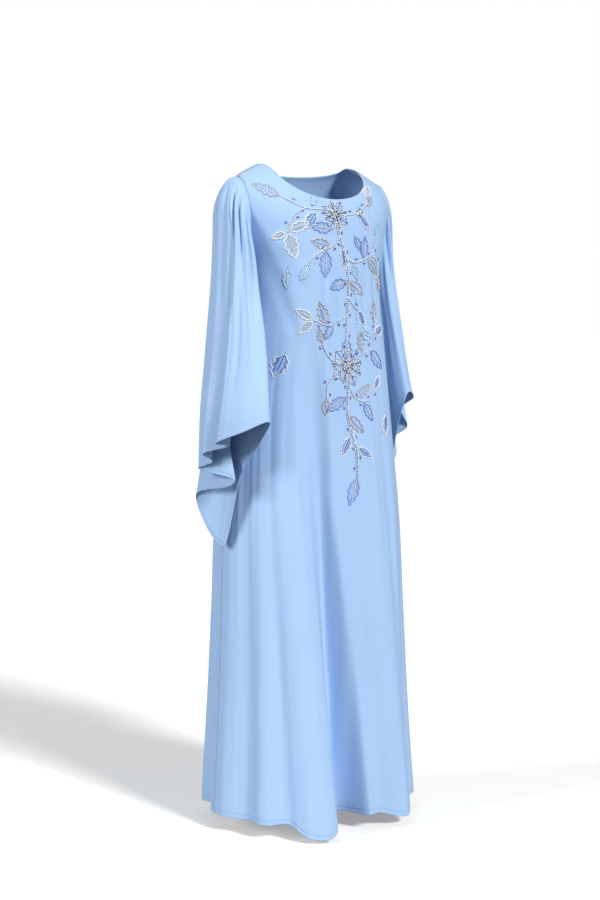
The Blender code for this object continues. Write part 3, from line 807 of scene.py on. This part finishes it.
def small_ball():
    """Corners and faces of a ball of radius 1 with a few rings, for beads."""
    rings, sides = 4, 7
    points = [Vector((0.0, 0.0, 1.0))]
    for ring in range(1, rings):
        level = math.pi * ring / rings
        for side in range(sides):
            turn = 2.0 * math.pi * side / sides
            x, y = math.sin(level) * math.cos(turn), math.sin(level) * math.sin(turn)
            points.append(Vector((x, y, math.cos(level))))
    points.append(Vector((0.0, 0.0, -1.0)))
    faces = []
    for side in range(sides):
        after = (side + 1) % sides
        faces.append((0, 1 + side, 1 + after))
        last = len(points) - 1
        faces.append((last, last - sides + after, last - sides + side))
        for ring in range(rings - 2):
            low, high = 1 + ring * sides, 1 + (ring + 1) * sides
            faces.append((low + side, high + side, high + after, low + after))
    return points, faces


def smooth_path(points, step):
    """Points at equal steps along a smooth curve through a few points."""
    given = [points[0], *points, points[-1]]
    fine = []
    for i in range(1, len(given) - 2):
        p0, p1, p2, p3 = (np.array(given[i + k]) for k in (-1, 0, 1, 2))
        for part in np.linspace(0.0, 1.0, 24, endpoint=False):
            fine.append(
                0.5 * (2 * p1 + (p2 - p0) * part + (2 * p0 - 5 * p1 + 4 * p2 - p3) * part**2
                       + (3 * p1 - p0 - 3 * p2 + p3) * part**3)
            )
    fine.append(np.array(points[-1]))
    fine = np.array(fine)
    run = np.concatenate([[0.0], np.cumsum(np.linalg.norm(np.diff(fine, axis=0), axis=1))])
    places = np.linspace(0.0, run[-1], max(int(run[-1] / step), 2) + 1)
    return np.stack([np.interp(places, run, fine[:, i]) for i in (0, 1)], axis=1)


def add_stem(work, points, beads_across):
    """A stem of beads in one or two rows on a blue thread, with small blue buds beside it."""
    path = smooth_path(points, STEM_PITCH)
    ahead = np.gradient(path, axis=0)
    ahead /= np.linalg.norm(ahead, axis=1, keepdims=True)
    side = np.stack([-ahead[:, 1], ahead[:, 0]], axis=1)
    work.thread("periwinkle_thread", path, THREAD)
    for number, place in enumerate(path):
        trim = "cream_beads" if number % 5 == 2 else "silver_beads"
        if beads_across == 1:
            work.bead(trim, *place, STEM_BEAD)
        else:
            for way in (-1.0, 1.0):
                work.bead(trim, *(place + side[number] * way * STEM_BEAD * 1.1), STEM_BEAD * 0.95)
    stride = int(SPRIG_STEP / STEM_PITCH)
    for number in range(stride, len(path) - 2, stride):
        way = 1.0 if (number // stride) % 2 else -1.0
        tip = path[number] + side[number] * way * 0.008 + ahead[number] * 0.003
        work.thread("white_thread", [path[number], tip], THREAD * 0.7)
        work.bead("blue_beads", *tip, 0.0021)
        work.bead("silver_beads", *(tip - side[number] * way * 0.0034), 0.0013)
        work.bead("blue_beads", *(tip + ahead[number] * 0.004), 0.0014)


LeafStyle = namedtuple("LeafStyle", "outline fill vein bead")
LEAF_STYLES = {
    "white": LeafStyle("white_thread", "periwinkle_thread", "blue_beads", 0.0012),
    "periwinkle": LeafStyle("periwinkle_thread", "leaf_organza", "cream_beads", 0.0013),
    "gold": LeafStyle("gold_thread", "leaf_organza", "cream_beads", 0.0013),
    "cream": LeafStyle("white_thread", "gold_thread", "cream_beads", 0.0013),
    "turquoise": LeafStyle("turquoise_thread", "white_thread", "silver_beads", 0.0011),
}


def add_leaf(work, leaf):
    """A leaf: lobed satin outline, slanting stitches inside it and a vein of beads."""
    style = LEAF_STYLES[leaf.style]
    turn = math.radians(leaf.turn)
    ahead = np.array([math.cos(turn), math.sin(turn)])
    side = np.array([-ahead[1], ahead[0]])
    base = np.array([leaf.x, leaf.z]) + ahead * 0.006

    def edge(part, way):
        spread = math.sin(math.pi * part**0.82) ** 0.9
        lobe = 1.0 + 0.16 * math.cos(2.0 * math.pi * LEAF_LOBES * part)
        return base + ahead * leaf.length * part + side * way * leaf.width / 2 * spread * lobe

    for way in (-1.0, 1.0):
        rim = [edge(step / LEAF_POINTS, way) for step in range(LEAF_POINTS + 1)]
        work.thread(style.outline, rim, THREAD * 1.15)
    stitches = int(leaf.length / 0.0026)
    for way in (-1.0, 1.0):
        for step in range(1, stitches):
            part = step / stitches
            inner = base + ahead * leaf.length * max(part - 0.10, 0.02)
            outer = edge(part, way)
            outer = inner + (outer - inner) * 0.84
            if leaf.style == "white" or step % 2:
                start = inner + (outer - inner) * (0.45 if leaf.style == "white" else 0.12)
                work.thread(style.fill, [start, (start + outer) / 2, outer], THREAD * 0.75)
                if leaf.style == "white":
                    tip = inner + (edge(part, way) - inner) * 1.06
                    work.thread(style.outline, [outer, tip], THREAD * 0.8)
    work.thread(style.outline, [base - ahead * 0.006, base + ahead * leaf.length * 0.85], THREAD)
    for step in range(1, int(leaf.length * 0.72 / (style.bead * 2.1))):
        work.bead(style.vein, *(base + ahead * step * style.bead * 2.1), style.bead, 1.0)


def add_flower(work, flower):
    """A flower of beads: petals of outlined drops round a dense heart."""
    for petal in range(flower.petals):
        turn = 2.0 * math.pi * (petal + 0.3) / flower.petals
        ahead = np.array([math.cos(turn), math.sin(turn)])
        side = np.array([-ahead[1], ahead[0]])
        reach = flower.radius * (1.0 if petal % 2 else 0.86)
        count = max(int(reach / 0.0022), 4)
        for step in range(count + 1):
            part = step / count
            spread = math.sin(math.pi * part**0.75) * reach * 0.34
            for way in (-1.0, 1.0):
                place = ahead * reach * (0.22 + 0.78 * part) + side * way * spread
                trim = "silver_beads" if (step + petal) % 3 else "dark_beads"
                work.bead(trim, flower.x + place[0], flower.z + place[1], 0.0014)
            if step % 2 == 0:
                place = ahead * reach * (0.22 + 0.70 * part)
                trim = "blue_beads" if petal % 2 else "dark_beads"
                work.bead(trim, flower.x + place[0], flower.z + place[1], 0.0013)
    for number in range(26):
        turn = number * 2.39996
        reach = flower.radius * 0.36 * math.sqrt((number + 0.5) / 26)
        trim = ("cream_beads", "silver_beads", "dark_beads")[number % 3]
        place = (flower.x + reach * math.cos(turn), flower.z + reach * math.sin(turn))
        work.bead(trim, *place, 0.0017, 1.3)


def add_needlework(front):
    tree = BVHTree.FromObject(front, bpy.context.evaluated_depsgraph_get())
    work = Needlework(tree)
    add_stem(work, STEM, 2)
    for points in SIDE_STEMS:
        add_stem(work, points, 1)
    for leaf in LEAVES:
        add_leaf(work, leaf)
    for flower in FLOWERS:
        add_flower(work, flower)
    return work.finish()


def add_sun(name, sun):
    """A far soft light that shines from a place towards the origin."""
    data = bpy.data.lights.new(name, "SUN")
    data.angle = math.radians(sun.softness)
    data.energy = sun.strength
    data.color = sun.colour
    light = bpy.data.objects.new(name, data)
    light.rotation_euler = (-Vector(sun.place)).to_track_quat("-Z", "Y").to_euler()
    bpy.context.scene.collection.objects.link(light)


def add_surroundings():
    """White behind the object, and a dimmer pale blue light from all round."""
    world = bpy.data.worlds.new("studio")
    world.use_nodes = True
    nodes, links = world.node_tree.nodes, world.node_tree.links
    ambient = nodes["Background"]
    ambient.inputs["Color"].default_value = (0.82, 0.90, 1.0, 1.0)
    ambient.inputs["Strength"].default_value = 0.18
    seen = nodes.new("ShaderNodeBackground")
    seen.inputs["Color"].default_value = (1.0, 1.0, 1.0, 1.0)
    seen.inputs["Strength"].default_value = 1.0
    rays = nodes.new("ShaderNodeLightPath")
    mix = nodes.new("ShaderNodeMixShader")
    links.new(rays.outputs["Is Camera Ray"], mix.inputs["Fac"])
    links.new(ambient.outputs["Background"], mix.inputs[1])
    links.new(seen.outputs["Background"], mix.inputs[2])
    links.new(mix.outputs["Shader"], nodes["World Output"].inputs["Surface"])
    bpy.context.scene.world = world


def floor_material():
    """Pale paper that looks brighter than the light it throws back on the cloth."""
    material, tree, shader = new_material("floor_paper")
    shader.inputs["Base Color"].default_value = (0.80, 0.80, 0.79, 1.0)
    shader.inputs["Emission Color"].default_value = (1.0, 1.0, 1.0, 1.0)
    shader.inputs["Emission Strength"].default_value = 0.32
    shader.inputs["Roughness"].default_value = 0.8
    nodes, links = tree.nodes, tree.links
    dim = nodes.new("ShaderNodeBsdfDiffuse")
    dim.inputs["Color"].default_value = (0.30, 0.32, 0.36, 1.0)
    rays = nodes.new("ShaderNodeLightPath")
    mix = nodes.new("ShaderNodeMixShader")
    links.new(rays.outputs["Is Camera Ray"], mix.inputs["Fac"])
    links.new(dim.outputs["BSDF"], mix.inputs[1])
    links.new(shader.outputs["BSDF"], mix.inputs[2])
    links.new(mix.outputs["Shader"], nodes["Material Output"].inputs["Surface"])
    return material


def add_studio():
    """Floor, lights, plain pale surroundings and the camera."""
    floor_mesh = bpy.data.meshes.new("floor")
    corners = [(FLOOR_REACH * x, FLOOR_REACH * y, FLOOR_Z) for x, y in ((-1, -1), (1, -1), (1, 1), (-1, 1))]
    floor_mesh.from_pydata(corners, [], [(0, 1, 2, 3)])
    floor_mesh.materials.append(floor_material())
    floor = bpy.data.objects.new("floor", floor_mesh)
    bpy.context.scene.collection.objects.link(floor)

    add_surroundings()
    for name, sun in SUNS.items():
        add_sun(name, sun)

    turn, tilt = math.radians(CAMERA_TURN), math.radians(CAMERA_TILT)
    right = Vector((math.cos(turn), -math.sin(turn), 0.0))
    level = Vector((math.sin(turn), math.cos(turn), 0.0))
    ahead = level * math.cos(tilt) - Vector((0.0, 0.0, math.sin(tilt)))
    up = right.cross(ahead)
    data = bpy.data.cameras.new("camera")
    data.lens = CAMERA_LENS
    camera = bpy.data.objects.new("camera", data)
    place = right * CAMERA_SIDE - level * CAMERA_DISTANCE + Vector((0.0, 0.0, CAMERA_Z))
    turned = Matrix((right, up, -ahead)).transposed().to_4x4()
    camera.matrix_world = Matrix.Translation(place) @ turned
    bpy.context.scene.collection.objects.link(camera)
    bpy.context.scene.camera = camera
    bpy.context.scene.view_settings.view_transform = "Standard"


def main():
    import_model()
    add_studio()
    front, front_points = body_cloth(True, crepe_material("front_crepe_look", 1.0))
    back, back_points = body_cloth(False, crepe_material("back_crepe_look", 2.0))
    right_material = crepe_material("sleeve_right_crepe_look", 3.0)
    left_material = crepe_material("sleeve_left_crepe_look", 4.0)
    right, right_points = sleeve_cloth("sleeve_right", RIGHT_RINGS, RIGHT_HEM, -1.0, right_material)
    left, left_points = sleeve_cloth("sleeve_left", LEFT_RINGS, LEFT_HEM, 1.0, left_material)
    needlework = add_needlework(front)


main()
